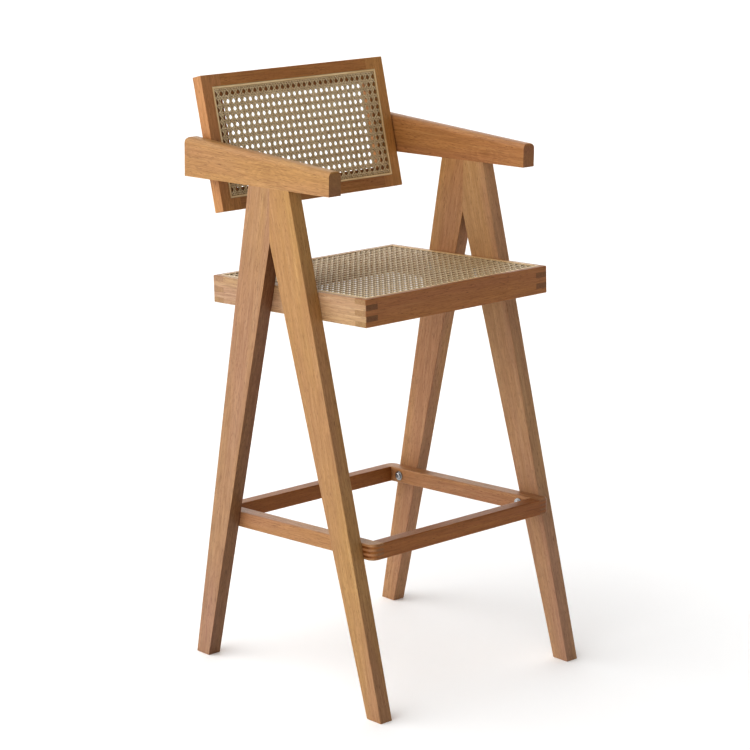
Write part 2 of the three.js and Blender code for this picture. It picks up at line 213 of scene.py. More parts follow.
def wood_material():
    """Oiled hardwood: soft growth rings, streaks and fine pores that run along each board."""
    s = Shader("oiled_wood")
    grain = s.attribute("grain")  # along, across and through the board, from the tree's heart
    knot = s.attribute("knot")  # where a knot's middle lies along and across, and its size
    along, across, through = s.node("ShaderNodeSeparateXYZ", {0: grain}).outputs
    knot_along, knot_across, knot_size = s.node("ShaderNodeSeparateXYZ", {0: knot}).outputs

    aside = s.math("MULTIPLY", s.math("SUBTRACT", along, knot_along), KNOT_SLENDER)
    near = s.length(aside, s.math("SUBTRACT", across, knot_across))
    near = s.math("DIVIDE", near, knot_size)
    swirl = s.remap(near, 0.0, KNOT_REACH, 1.0, 0.0)
    core = s.remap(near, 0.15, 0.65, 1.0, 0.0)

    warp = s.math("SUBTRACT", s.noise(grain, WARP_WAVES, 3), 0.5)
    radius = s.math("ADD", s.length(across, through), s.math("MULTIPLY", warp, RING_WARP))
    radius = s.math("ADD", radius, s.math("MULTIPLY", along, RING_TAPER))
    radius = s.math("ADD", radius, s.math("MULTIPLY", swirl, KNOT_SWELL))
    phase = s.math("FRACT", s.math("DIVIDE", radius, RING_SPACING))
    ring = s.math("MULTIPLY", s.remap(phase, 0.0, 0.85), s.remap(phase, 0.88, 1.0, 1.0, 0.0))

    patch = s.noise(grain, PATCH_WAVES)
    streak = s.noise(grain, STREAK_WAVES, 3, 0.6)
    fibre = s.noise(grain, FIBRE_WAVES, 3, 0.6)
    pore = s.remap(s.noise(grain, PORE_WAVES), 0.56, 0.68)
    pore = s.math("MULTIPLY", pore, s.math("SUBTRACT", 1.0, s.math("MULTIPLY", ring, 0.6)))

    colour = s.mix(s.remap(patch, 0.34, 0.66, 0.2, 0.95), WOOD_GOLD, WOOD_ROSE)
    bold = s.math("ADD", 0.18, s.math("MULTIPLY", swirl, 0.12))
    colour = s.mix(s.math("MULTIPLY", ring, bold), colour, WOOD_RING)
    colour = s.mix(s.remap(streak, 0.42, 0.74, 0.0, 0.19), colour, WOOD_RING)
    colour = s.mix(s.remap(streak, 0.50, 0.26, 0.0, 0.22), colour, WOOD_PALE)
    colour = s.mix(s.remap(fibre, 0.42, 0.74, 0.0, 0.35), colour, WOOD_DARK)
    colour = s.mix(s.math("MULTIPLY", pore, 0.60), colour, WOOD_DARK)
    colour = s.mix(s.math("MULTIPLY", core, 0.15), colour, WOOD_RING)
    # each face's tone, with painted light and shade on narrow faces, in the recess and on some rails
    colour = s.mix(1.0, colour, s.attribute("tone_and_painted_light", "Color"), "MULTIPLY")

    height = s.math("SUBTRACT", s.math("MULTIPLY", fibre, 0.4), pore)
    return s.finish(
        Base_Color=colour,
        Roughness=s.remap(fibre, 0.3, 0.7, 0.38, 0.52),
        Normal=s.bump(height, 0.00012, 0.4),
        IOR=1.43,
    )


def strand_material(name, pale, deep, edge, gloss):
    """A split cane: a glossy skin with fine lengthwise fibres, darker at its edges with painted shade.
    """
    s = Shader(name)
    run = s.attribute("run")  # along and across the strand, and a number of its own
    parts = s.node("ShaderNodeSeparateXYZ", {0: run}).outputs
    fibre = s.noise(run, (60, 1500, 900), 3, 0.6)
    patch = s.noise(run, (14, 60, 700))
    across = s.math("ABSOLUTE", s.attribute("across", "Fac"))
    colour = s.mix(s.remap(patch, 0.32, 0.68), pale, deep)
    colour = s.mix(s.remap(fibre, 0.42, 0.75, 0.0, 0.45), colour, edge)
    # painted shade: each strand drawn darker towards its edges, where it meets its neighbours and the
    # groove
    colour = s.mix(s.remap(across, 0.42, 1.0, 0.0, 0.92), colour, edge)
    shade = s.remap(parts[2], 0.0, 1.0, 0.0, 0.25)
    colour = s.mix(shade, colour, deep)
    return s.finish(
        Base_Color=colour,
        Roughness=s.remap(fibre, 0.3, 0.7, gloss, gloss + 0.14),
        Normal=s.bump(fibre, 0.00006, 0.5),
        IOR=1.5,
    )


def dowel_material(name, waves):
    """Plain pale dowel wood, with its fibres along the dowel."""
    s = Shader(name)
    where = s.node("ShaderNodeTexCoord").outputs["Object"]
    fibre = s.noise(where, waves, 3, 0.6)
    colour = s.mix(s.remap(fibre, 0.3, 0.7), rgb(206, 172, 124), rgb(172, 132, 84))
    return s.finish(Base_Color=colour, Roughness=0.6, Normal=s.bump(fibre, 0.0001, 0.4))


def zinc_material():
    """Bright zinc plate with a faint brushed and clouded surface."""
    s = Shader("zinc_plate")
    where = s.node("ShaderNodeTexCoord").outputs["Object"]
    cloud = s.noise(where, (420, 420, 420), 4, 0.65)
    scratch = s.noise(where, (500, 6000, 900))
    colour = s.mix(s.remap(cloud, 0.3, 0.7), rgb(206, 209, 212), rgb(168, 172, 176))
    return s.finish(
        Base_Color=colour,
        Metallic=1.0,
        Roughness=s.remap(cloud, 0.3, 0.7, 0.22, 0.38),
        Normal=s.bump(scratch, 0.00003, 0.4),
    )


def floor_material():
    """Matt white studio floor."""
    s = Shader("studio_floor")
    where = s.node("ShaderNodeTexCoord").outputs["Object"]
    mottle = s.noise(where, (1.5, 1.5, 1.5))
    colour = s.mix(mottle, rgb(247, 247, 247), rgb(250, 250, 250))
    return s.finish(Base_Color=colour, Roughness=0.9, Emission_Color=colour, Emission_Strength=0.06)


WOOD = wood_material()
# The edge colours are painted shade along the strands' and splines' edges; the dark fibres share them.
CANE = strand_material(
    "cane_strand", pale=rgb(228, 209, 174), deep=rgb(203, 178, 140), edge=rgb(66, 42, 24), gloss=0.32
)
REED = strand_material(
    "spline_reed", pale=rgb(234, 214, 176), deep=rgb(214, 188, 146), edge=rgb(160, 128, 88), gloss=0.28
)
ZINC = zinc_material()

# Each board's own tone: golden, pink or deep, over the common wood; some also carry painted shade.
BOARD_TONES_AND_PAINTED_SHADE = {
    "arm_left": (1.06, 1.12, 1.20),
    "arm_right": (1.02, 0.97, 0.98),
    "leg_front_left": (1.09, 1.19, 1.20),
    "leg_rear_left": (1.02, 1.13, 1.42),
    "leg_front_right": (1.07, 1.18, 1.48),
    "leg_rear_right": (1.09, 1.15, 1.28),
    # painted shade: the footrest's front and rear rails drawn darker for the shade on their
    # front-facing sides
    "footrest_rail_front": (0.74, 0.56, 0.38),
    "footrest_rail_rear": (0.72, 0.54, 0.38),
    "footrest_rail_left": (0.98, 1.00, 1.18),
    "footrest_rail_right": (0.95, 0.95, 1.08),
    # painted shade: the seat's front rail drawn darker for the shade on its front face
    "seat_rail_front": (0.84, 0.70, 0.58),
    "seat_rail_left": (1.13, 1.38, 2.00),
    "back_rail_top": (1.07, 0.97, 0.78),
    "back_rail_bottom": (1.04, 1.00, 0.92),
    "back_stile_left": (1.18, 1.15, 1.10),
    "back_stile_right": (1.14, 1.10, 1.04),
}

# How much darker a board's end grain is than its sides, as a share.
END_GRAIN = {
    "seat_rail_right": 0.46,
    "arm_left": 0.42,
}
COMMON_END_GRAIN = 0.34
END_TINTS = {  # end grain with a tone of its own, seen in the seat's finger joints
    "seat_rail_left": (0.46, 0.38, 0.34),
    "seat_rail_front": (0.88, 1.02, 1.26),
    "seat_rail_rear": (0.94, 1.10, 1.50),
}
# Painted light and shade: how much darker or lighter a board's narrow faces are drawn than its broad
# ones.
NARROW_PAINTED_LIGHT = {"leg_rear_left": 0.65, "leg_front_left": 0.90, "back_stile_left": 1.08}
FOOT_TONE = (0.88, 0.89, 1.05)  # the legs grow darker and pinker towards the floor
RECESS_PAINTED_SHADE = 0.8  # painted shade: the lip behind the cane is drawn this dark, for the shade of the cane over it

# Knots on the outer faces of the side boards: where in Y and Z, and how wide.
KNOTS = {
    "arm_left": (30.0, 950.0, 13.0),
    "arm_right": (-34.0, 936.0, 12.0),
    "leg_front_left": (-2.0, 748.0, 3.5),
}
NO_KNOT = (9.0, 9.0, 0.001)  # far off every board


# ---- Mesh work ---------------------------------------------------------------------------


def new_object(name, mesh):
    made = bpy.data.objects.new(name, mesh)
    bpy.context.scene.collection.objects.link(made)
    return made


def mesh_from(bm):
    bmesh.ops.recalc_face_normals(bm, faces=bm.faces)
    mesh = bpy.data.meshes.new("shape")
    bm.to_mesh(mesh)
    bm.free()
    return mesh


SAME_POINT = 0.002
NEARLY_FLAT = math.radians(0.4)
SHARP = math.radians(25)


def merge_flat_faces(bm):
    bmesh.ops.remove_doubles(bm, verts=bm.verts, dist=SAME_POINT)
    bmesh.ops.dissolve_limit(bm, angle_limit=NEARLY_FLAT, verts=bm.verts, edges=bm.edges)


def round_edges(bm, width, keep_sharp=lambda edge: False):
    """Rounds the edges where two faces meet sharply, except those to keep."""
    sharp = [
        edge for edge in bm.edges
        if len(edge.link_faces) == 2 and edge.calc_face_angle() > SHARP and not keep_sharp(edge)
    ]
    bmesh.ops.bevel(
        bm, geom=sharp, offset=width, segments=3, profile=0.5, affect="EDGES", clamp_overlap=True
    )


def boolean(target, cutter, operation):
    """The two meshes joined or cut, exactly."""
    holder = new_object("target", target)
    tool = new_object("cutter", cutter)
    change = holder.modifiers.new("cut", "BOOLEAN")
    change.object = tool
    change.operation = operation
    change.solver = "EXACT"
    graph = bpy.context.evaluated_depsgraph_get()
    result = bpy.data.meshes.new_from_object(holder.evaluated_get(graph))
    for done in (holder, tool):
        bpy.data.objects.remove(done)
    return result


def block(low, high):
    bm = bmesh.new()
    bmesh.ops.create_cube(bm, size=1.0)
    for v in bm.verts:
        v.co = [low[i] if v.co[i] < 0 else high[i] for i in range(3)]
    return mesh_from(bm)


def prism(loops, top, bottom):
    """A solid between two heights. The first loop is its outline and the others are holes in it."""
    bm = bmesh.new()
    upper = [[bm.verts.new((x, y, top)) for x, y in loop] for loop in loops]
    edges = [bm.edges.new((loop[i - 1], loop[i])) for loop in upper for i in range(len(loop))]
    bmesh.ops.triangle_fill(bm, use_beauty=True, edges=edges)
    lower = {v: bm.verts.new((v.co.x, v.co.y, bottom)) for loop in upper for v in loop}
    for face in list(bm.faces):
        bm.faces.new([lower[v] for v in reversed(face.verts)])
    for loop in upper:
        for i in range(len(loop)):
            a, b = loop[i - 1], loop[i]
            bm.faces.new((a, b, lower[b], lower[a]))
    bmesh.ops.recalc_face_normals(bm, faces=bm.faces)
    return bm


def rectangle(low, high):
    """Its corners, anticlockwise from the lowest."""
    return [low, (high[0], low[1]), high, (low[0], high[1])]


def rectangular_hole(low, high):
    """Its corners, clockwise from the lowest."""
    first, *others = rectangle(low, high)
    return [first, *reversed(others)]


def rounded_rectangle(low, high, radius, steps):
    corners = [
        (high[0] - radius, low[1] + radius, -90),
        (high[0] - radius, high[1] - radius, 0),
        (low[0] + radius, high[1] - radius, 90),
        (low[0] + radius, low[1] + radius, 180),
    ]
    return [
        (x + radius * math.cos(turn), y + radius * math.sin(turn))
        for x, y, start in corners
        for turn in (math.radians(start + 90 * i / steps) for i in range(steps + 1))
    ]


def smooth(piece):
    """Soft shading over the rounded edges, with the flat faces kept flat."""
    piece.data.shade_smooth()
    piece.data.set_sharp_from_angle(angle=math.radians(40))
    weighted = piece.modifiers.new("flat_faces", "WEIGHTED_NORMAL")
    weighted.keep_sharp = True


def place_piece(name, mesh, place, material, replaced):
    mesh.transform(place)
    mesh.transform(Matrix.Scale(MM, 4))
    mesh.name = name
    mesh.materials.clear()
    mesh.materials.append(material)
    piece = new_object(name, mesh)
    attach(piece, "root")
    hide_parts(*replaced)
    return piece


def paint_corners(mesh, node, tone_and_painted_light, along, across):
    """Gives faces their board's tone, another on end grain, painted light and shade on narrow faces,
    painted shade in the recess.
    """
    ends = END_GRAIN.get(node, COMMON_END_GRAIN)
    is_leg = node.startswith("leg_")
    highest = max(v.co.z for v in mesh.vertices)
    colour = mesh.attributes.new("tone_and_painted_light", "FLOAT_COLOR", "CORNER")
    for polygon in mesh.polygons:
        ending = abs(polygon.normal.dot(along)) ** 6
        share = 1 - ends * ending
        # painted light and shade: the narrow faces drawn darker where shaded, lighter where lit
        if abs(polygon.normal.dot(across)) > 0.9:
            share *= NARROW_PAINTED_LIGHT.get(node, 1.0)
        # painted shade: the flat lip under the cane is drawn darker, for the shade that the cane casts
        # on it
        if polygon.normal.z > 0.99 and abs(polygon.center.z + REBATE) < 0.1:
            share = RECESS_PAINTED_SHADE
        red, green, blue = tone_and_painted_light
        shaded = (red * share, green * share ** 1.25, blue * share ** 1.5)
        if node in END_TINTS:
            shaded = Vector(shaded).lerp(END_TINTS[node], ending)
        for corner, vertex in zip(polygon.loop_indices, polygon.vertices):
            down = 1 - mesh.vertices[vertex].co.z / highest if is_leg else 0.0
            toned = [part * (1 + down * (foot - 1)) for part, foot in zip(shaded, FOOT_TONE)]
            colour.data[corner].color = (*toned, 1.0)


def wooden(name, node, mesh, place, along, face):
    """A finished board. `along` is its grain, and `face` is the normal of its broad side."""
    draw = random.Random(node)
    along = Vector(along).normalized()
    through = Vector(face).normalized()
    across = through.cross(along).normalized()
    centre = sum((v.co for v in mesh.vertices), Vector()) / len(mesh.vertices)
    shift, aside = draw.uniform(-4, 4), draw.uniform(-0.045, 0.045)
    heart = Vector((shift, aside, draw.choice((-1, 1)) * draw.uniform(0.035, 0.11)))

    def from_heart(point):
        offset = (point - centre) * MM
        return Vector((offset.dot(along), offset.dot(across), offset.dot(through))) + heart

    grain = mesh.attributes.new("grain", "FLOAT_VECTOR", "POINT")
    for i, v in enumerate(mesh.vertices):
        grain.data[i].vector = from_heart(v.co)
    knot = NO_KNOT
    if node in KNOTS:
        y, z, wide = KNOTS[node]
        knot = (*from_heart(Vector((centre.x, y, z)))[:2], wide * MM)
    marks = mesh.attributes.new("knot", "FLOAT_VECTOR", "POINT")
    marks.data.foreach_set("vector", [*knot] * len(mesh.vertices))
    shade = draw.uniform(0.94, 1.03)
    plain = (shade, shade * draw.uniform(0.95, 1.0), shade * draw.uniform(0.92, 1.0))
    paint_corners(mesh, node, BOARD_TONES_AND_PAINTED_SHADE.get(node, plain), along, across)
    smooth(place_piece(name, mesh, place, WOOD, [node]))


# ---- Legs and arms -----------------------------------------------------------------------

LEG_TOP = 10.0  # corners this near the highest belong to a leg's top end
LEG_FOOT = 5.0  # and corners lower than this to its foot
LEG_ROUNDING = 1.3
ARM_ROUNDING = 1.8


def hull_of(node):
    """The CAD node's outline without its hidden holes, in millimetres."""
    bm = bmesh.new()
    for v in nodes[node].data.vertices:
        bm.verts.new(v.co / MM)
    made = bmesh.ops.convex_hull(bm, input=bm.verts)
    spare = (*made["geom_interior"], *made["geom_unused"])
    inside = {part for part in spare if isinstance(part, bmesh.types.BMVert)}
    bmesh.ops.delete(bm, geom=list(inside), context="VERTS")
    merge_flat_faces(bm)
    return bm


def make_leg(end, side_name):
    node = f"leg_{end}_{side_name}"
    bm = hull_of(node)
    top_end = max(v.co.z for v in bm.verts) - LEG_TOP
    for v in bm.verts:
        if abs(v.co.y - SEAM_Y) < 2 * JOINT_GAP:
            v.co.y = SEAM_Y
        if v.co.z > top_end:
            v.co.z += JOINT_GAP

    def glued(edge):
        ends = [v.co for v in edge.verts]
        return all(abs(c.y - SEAM_Y) < 0.01 for c in ends) or all(c.z > top_end for c in ends)

    round_edges(bm, LEG_ROUNDING, glued)
    feet = [v.co for v in bm.verts if v.co.z < LEG_FOOT]
    tops = [v.co for v in bm.verts if v.co.z > top_end]
    along = sum(tops, Vector()) / len(tops) - sum(feet, Vector()) / len(feet)
    wooden(f"{node}_board", node, mesh_from(bm), Matrix(), along, X)


def make_arm(side_name):
    node = f"arm_{side_name}"
    bm = hull_of(node)
    round_edges(bm, ARM_ROUNDING)
    wooden(f"{node}_board", node, mesh_from(bm), Matrix(), Y, X)


for side_name in SIDES:
    for end in ENDS:
        make_leg(end, side_name)
    make_arm(side_name)


# ---- Frames: seat, footrest and backrest ---------------------------------------------------


def frame_blank(size, corner_steps):
    """The whole frame in one piece: its top face at z = 0, its near edge at y = 0."""
    half, depth, rail = size["width"] / 2, size["depth"], size["rail"]
    inner_x = half - size["stile"]
    outer = rounded_rectangle((-half, 0), (half, depth), size["corner"], corner_steps)
    hole = rectangular_hole((-inner_x, rail), (inner_x, depth - rail))
    bm = prism([outer, hole], 0.0, -size["height"])
    bmesh.ops.dissolve_limit(bm, angle_limit=math.radians(1), verts=bm.verts, edges=bm.edges)

    def upright(edge):
        return abs(edge.verts[0].co.z - edge.verts[1].co.z) > 1

    round_edges(bm, size["edge"], upright)
    mesh = mesh_from(bm)
    if size["groove"] is None:
        return mesh
    inset, inner = size["groove"], size["groove"] + GROOVE_WIDTH
    outside = rectangle((-half + inset, inset), (half - inset, depth - inset))
    inside = rectangular_hole((-half + inner, inner), (half - inner, depth - inner))
    above = 5.0
    groove = prism([outside, inside], above, -GROOVE_DEPTH)
    mesh = boolean(mesh, mesh_from(groove), "DIFFERENCE")
    inner -= 0.1  # a little into the groove, so that no sliver of wood is left
    rebate = block((-half + inner, inner, -REBATE), (half - inner, depth - inner, above))
    return boolean(mesh, rebate, "DIFFERENCE")


def finger_loop(length, size, long_first):
    """A rail seen face on: fingers at both ends, in the odd or the even bands from the top."""
    height, fingers = size["height"], size["fingers"]
    right = []
    for i in range(fingers):
        is_long = (i % 2 == 0) == long_first
        end = length / 2 + OVER if is_long else length / 2 - size["rail"]
        upper = OVER if i == 0 else -i * height / fingers
        lower = -height - OVER if i == fingers - 1 else -(i + 1) * height / fingers
        right += [(end, upper), (end, lower)]
    return right + [(-x, z) for x, z in reversed(right)]


def finger_cutter(length, size, long_first, start, stop):
    """The space of one rail, from start to stop through its thickness, standing along X."""
    bm = prism([finger_loop(length, size, long_first)], start, stop)
    upright = Matrix.Rotation(math.pi / 2, 4, "X")
    bm.transform(upright)  # the loop's second axis becomes Z, and its thickness -Y
    return mesh_from(bm)


def clean(mesh):
    bm = bmesh.new()
    bm.from_mesh(mesh)
    merge_flat_faces(bm)
    return mesh_from(bm)


def fingered_frame(size, prefix, place, corner_steps):
    """Four rails with interlocked fingers, each its own board."""
    blank = frame_blank(size, corner_steps)
    width, depth, rail, half = size["width"], size["depth"], size["rail"], size["width"] / 2
    first = size["across_first"]
    quarter = Matrix.Rotation(math.pi / 2, 4, "Z")
    sideways = Matrix.Translation((0, depth / 2, 0)) @ quarter
    spaces = {
        "front": (width, first, OVER, -rail, X, Y),
        "rear": (width, first, rail - depth, -depth - OVER, X, Y),
        "right": (depth, not first, half + OVER, half - rail, Y, X),
        "left": (depth, not first, rail - half, -half - OVER, Y, X),
    }
    for name, (length, long_first, start, stop, along, face) in spaces.items():
        cutter = finger_cutter(length, size, long_first, start, stop)
        if name in SIDES:
            cutter.transform(sideways)
        node = f"{prefix}_rail_{name}"
        board = clean(boolean(blank.copy(), cutter, "INTERSECT"))
        wooden(f"{node}_board", node, board, place, along, face)


def back_frame(size, place):
    """Two stiles of full height, with the two rails between them."""
    blank = frame_blank(size, 3)
    half, depth = size["width"] / 2, size["depth"]
    inner = half - size["stile"]
    deep = -size["height"] - OVER
    spaces = {
        "stile_left": ((-half - OVER, -OVER, deep), (-inner, depth + OVER, OVER), Y),
        "stile_right": ((inner, -OVER, deep), (half + OVER, depth + OVER, OVER), Y),
        "rail_bottom": ((-inner, -OVER, deep), (inner, depth / 2, OVER), X),
        "rail_top": ((-inner, depth / 2, deep), (inner, depth + OVER, OVER), X),
    }
    for name, (low, high, along) in spaces.items():
        node = f"back_{name}"
        board = clean(boolean(blank.copy(), block(low, high), "INTERSECT"))
        wooden(f"{node}_board", node, board, place, along, Z)


fingered_frame(SEAT, "seat", seat_place, 3)
fingered_frame(RING, "footrest", ring_place, 10)
back_frame(BACK, back_place)


# ---- Cane --------------------------------------------------------------------------------

PAIR = 1.72  # from the middle of a pair of strands to the middle of each
STRAND_WIDTH = 3.05
STRAND_THICKNESS = 0.9
PAIR_LIFT = 0.4  # how far the strands of a pair rise and dip where pairs cross
DIAGONAL_LIFT = 0.78  # the same for the diagonals
MAT_LEVEL = -1.35  # the middle of the woven mat, from the face of the frame
TUCK_WIDTH = 3.0  # the mat's edge, where it bends down into the groove
TUCK_DEPTH = 1.6
WANDER = 0.12  # how far a strand lies from its true place
DIAGONAL_STEPS = 6  # points of a diagonal to one mesh of the cane

# The strand's section: flat underneath, crowned on top, as shares of its width and thickness.
SECTION = [(-0.5, -0.45), (0.5, -0.45), (0.43, 0.12), (0.0, 0.5), (-0.43, 0.12)]


class Strands:
    """A mesh of woven strands, filled one strand at a time."""

    def __init__(self, seed):
        self.draw = random.Random(seed)
        self.points, self.faces, self.runs, self.across = [], [], [], []

    def add(self, path):
        own = self.draw.random()
        width = STRAND_WIDTH * self.draw.uniform(0.93, 1.06)
        thickness = STRAND_THICKNESS * self.draw.uniform(0.92, 1.06)
        start = self.draw.uniform(0, 900)
        first = len(self.points)
        count = len(SECTION)
        travelled = 0.0
        for i, point in enumerate(path):
            before, after = path[max(i - 1, 0)], path[min(i + 1, len(path) - 1)]
            forward = (after - before).normalized()
            side = forward.cross(Vector(Z)).normalized()
            up = side.cross(forward)
            if i:
                travelled += (point - path[i - 1]).length
            for across, rise in SECTION:
                self.points.append(point + side * (across * width) + up * (rise * thickness))
                self.runs.append(((start + travelled) * MM, across * width * MM, own))
                self.across.append(2 * across)
        for i in range(len(path) - 1):
            for j in range(count):
                a, b = first + i * count + j, first + i * count + (j + 1) % count
                self.faces.append((b, a, a + count, b + count))
        last = first + (len(path) - 1) * count
        self.faces.append(tuple(first + j for j in range(count)))
        self.faces.append(tuple(last + j for j in reversed(range(count))))

    def mesh(self):
        mesh = bpy.data.meshes.new("strands")
        mesh.from_pydata([p[:] for p in self.points], [], self.faces)
        run = mesh.attributes.new("run", "FLOAT_VECTOR", "POINT")
        run.data.foreach_set("vector", [c for r in self.runs for c in r])
        across = mesh.attributes.new("across", "FLOAT", "POINT")
        across.data.foreach_set("value", self.across)
        mesh.shade_smooth()
        return mesh


def ripple(distance):
    """Rises and dips once where two strands of a pair are crossed, and is level elsewhere."""
    reach = 2 * PAIR
    return math.sin(math.pi * distance / reach) if abs(distance) < reach else 0.0


def stops(low, high, first, pitch):
    """Places along a strand where its height changes, around each crossing pair."""
    found = [low, high, low + 2.0, high - 2.0]
    k = math.floor((low - first) / pitch)
    while first + k * pitch - 2 * PAIR < high:
        for shift in (-2 * PAIR, -PAIR, PAIR, 2 * PAIR):
            found.append(first + k * pitch + shift)
        k += 1
    inside = sorted(s for s in found if low <= s <= high)
    return [s for i, s in enumerate(inside) if i == 0 or s - inside[i - 1] > 0.5]


def weave(size, place, prefix):
    """Cane with eight-sided holes: pairs across and along, and diagonals over and under them."""
    half, depth = size["width"] / 2, size["depth"]
    edge = size["groove"] + GROOVE_WIDTH / 2
    low, high = Vector((-half + edge, edge)), Vector((half - edge, depth - edge))
    pair_x = -half + size["first_hole"][0] - PITCH_ACROSS / 2
    pair_y = depth - size["first_hole"][1] + PITCH_ALONG / 2
    straight, slanted = Strands(prefix + "pairs"), Strands(prefix + "diagonals")

    def tucked(x, y, z):
        """A point of the mat. Near the edge it dips into the groove, under the spline."""
        room = min(x - low.x, high.x - x, y - low.y, high.y - y)
        dip = max(0.0, 1 - room / TUCK_WIDTH)
        return Vector((x, y, MAT_LEVEL + z - TUCK_DEPTH * dip * dip))

    def pairs(first, pitch, lowest, highest):
        k = math.floor((lowest - first) / pitch)
        while first + k * pitch - PAIR < highest:
            for hand in (-1, 1):
                at = first + k * pitch + hand * PAIR
                if lowest + 1 < at < highest - 1:
                    yield hand, at
            k += 1

    def from_crossing(value, first, pitch):
        return (value - first + pitch / 2) % pitch - pitch / 2

    for hand, x in pairs(pair_x, PITCH_ACROSS, low.x, high.x):
        x += straight.draw.uniform(-WANDER, WANDER)
        levels = [
            (y, -hand * PAIR_LIFT * ripple(from_crossing(y, pair_y, PITCH_ALONG)))
            for y in stops(low.y, high.y, pair_y, PITCH_ALONG)
        ]
        straight.add([tucked(x, y, z) for y, z in levels])
    for hand, y in pairs(pair_y, PITCH_ALONG, low.y, high.y):
        y += straight.draw.uniform(-WANDER, WANDER)
        levels = [
            (x, hand * PAIR_LIFT * ripple(from_crossing(x, pair_x, PITCH_ACROSS)))
            for x in stops(low.x, high.x, pair_x, PITCH_ACROSS)
        ]
        straight.add([tucked(x, y, z) for x, z in levels])

    columns = (high.x - low.x) / PITCH_ACROSS
    rows = (high.y - low.y) / PITCH_ALONG
    reach = math.ceil(columns + rows) + 2
    steps = DIAGONAL_STEPS
    for lean in (1, -1):
        for k in range(-reach, reach):
            path = []
            for i in range(-2 * steps, (math.ceil(columns) + 2) * steps):
                u = i / steps
                v = lean * (u - k - 0.5)
                x, y = pair_x + u * PITCH_ACROSS, pair_y + v * PITCH_ALONG
                if low.x <= x <= high.x and low.y <= y <= high.y:
                    path.append(tucked(x, y, lean * DIAGONAL_LIFT * math.cos(2 * math.pi * u)))
            if len(path) > 2:
                slanted.add(path)
    for strands, kind in ((straight, "pairs"), (slanted, "diagonals")):
        place_piece(f"{prefix}_cane_{kind}", strands.mesh(), place, CANE, [f"{prefix}_cane"])


weave(SEAT, seat_place, "seat")
weave(BACK, back_place, "back")


# ---- Splines -----------------------------------------------------------------------------

SPLINE_WIDTH = GROOVE_WIDTH - 0.2
SPLINE_DEPTH = 5.5
CROWN = 0.9  # how high the rounded top rises, over its edges
CROWN_EDGE = -0.35  # where those edges lie, from the face of the frame
CROWN_STEPS = 8
SPLINE_STEPS = 40


def spline_strips(size, place, names):
    """Four mitred strips of reed, crowned on top, that wedge the cane in its groove."""
    width = SPLINE_WIDTH
    profile = [(0.0, -SPLINE_DEPTH), (width, -SPLINE_DEPTH)]
    for i in range(CROWN_STEPS + 1):
        turn = math.pi * i / CROWN_STEPS
        rise = CROWN * math.sin(turn) + CROWN_EDGE
        profile.append((width / 2 + width / 2 * math.cos(turn), rise))
    inset = size["groove"] + (GROOVE_WIDTH - width) / 2
    half_x, half_y = size["width"] / 2 - inset, size["depth"] / 2 - inset
    for turns, name in enumerate(names):
        reach, away = (half_x, half_y) if turns % 2 == 0 else (half_y, half_x)
        strands = Strands(name)
        own = strands.draw.random()
        count = len(profile)
        stations = [i / SPLINE_STEPS * 2 - 1 for i in range(SPLINE_STEPS + 1)]
        for share in stations:
            for offset, rise in profile:
                x = share * (reach - offset)
                strands.points.append(Vector((x, offset - away, rise)))
                strands.runs.append((x * MM, offset * MM, own))
                strands.across.append(2 * offset / width - 1)
        for i in range(len(stations) - 1):
            for j in range(count):
                a, b = i * count + j, i * count + (j + 1) % count
                strands.faces.append((a, b, b + count, a + count))
        last = (len(stations) - 1) * count
        strands.faces.append(tuple(reversed(range(count))))
        strands.faces.append(tuple(last + j for j in range(count)))
        mesh = strands.mesh()
        turned = Matrix.Rotation(turns * math.pi / 2, 4, "Z")
        mesh.transform(Matrix.Translation((0, size["depth"] / 2, 0)) @ turned)
        smooth(place_piece(f"{name}_strip", mesh, place, REED, [name]))


spline_strips(SEAT, seat_place, [f"seat_spline_{edge}" for edge in ("front", "right", "rear", "left")])
spline_strips(BACK, back_place, [f"back_spline_{edge}" for edge in ("bottom", "right", "top", "left")])


# ---- Bolts and washers ---------------------------------------------------------------------


def turned_mesh(profile):
    """A closed profile of (radius, height) turned about Z."""
    bm = bmesh.new()
    chain = [bm.verts.new((radius, 0, height)) for radius, height in profile]
    edges = [bm.edges.new((chain[i], chain[i + 1])) for i in range(len(chain) - 1)]
    bmesh.ops.spin(
        bm, geom=chain + edges, axis=(0, 0, 1), cent=(0, 0, 0), dvec=(0, 0, 0), angle=2 * math.pi,
        steps=48, use_merge=True,
    )
    bmesh.ops.remove_doubles(bm, verts=bm.verts, dist=0.001)
    return mesh_from(bm)


def outward(node, side):
    """Turns +Z to point into the leg, from the middle of a fastener's inner end."""
    low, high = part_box(node)
    middle = (low + high) / 2 / MM
    inner = (low.x if side > 0 else high.x) / MM
    turn = Matrix.Rotation(side * math.pi / 2, 4, "Y")
    return Matrix.Translation((inner, middle.y, middle.z)) @ turn


def bolt_mesh(length):
    """A button head with a hexagon socket, and a threaded shank."""
    head, tall, shank = 6.2, 3.6, 3.0
    dome_width, dome_height, dome_steps = 2.4, 2.9, 8
    flat = head - dome_width
    dome = []
    for i in range(dome_steps + 1):
        turn = math.pi / 2 * i / dome_steps
        dome.append((flat + dome_width * math.sin(turn), dome_height * (1 - math.cos(turn))))
    body = [(0.0, 0.0), *dome, (head, tall), (shank, tall)]
    crest, root, pitch = shank - 0.05, shank - 0.5, 1.0
    threads = []
    along = tall + 4
    while along < length - pitch:
        threads += [(crest, along), (root, along + pitch / 2)]
        along += pitch
    tip = [(shank - 0.2, length - 0.6), (shank - 0.8, length), (0.0, length)]
    mesh = turned_mesh([*body, *threads, *tip])
    key, key_depth, above = 2.3, 2.2, -2.0
    turns = [i * math.pi / 3 for i in range(6)]
    socket = prism([[(key * math.cos(a), key * math.sin(a)) for a in turns]], key_depth, above)
    return boolean(mesh, mesh_from(socket), "DIFFERENCE")


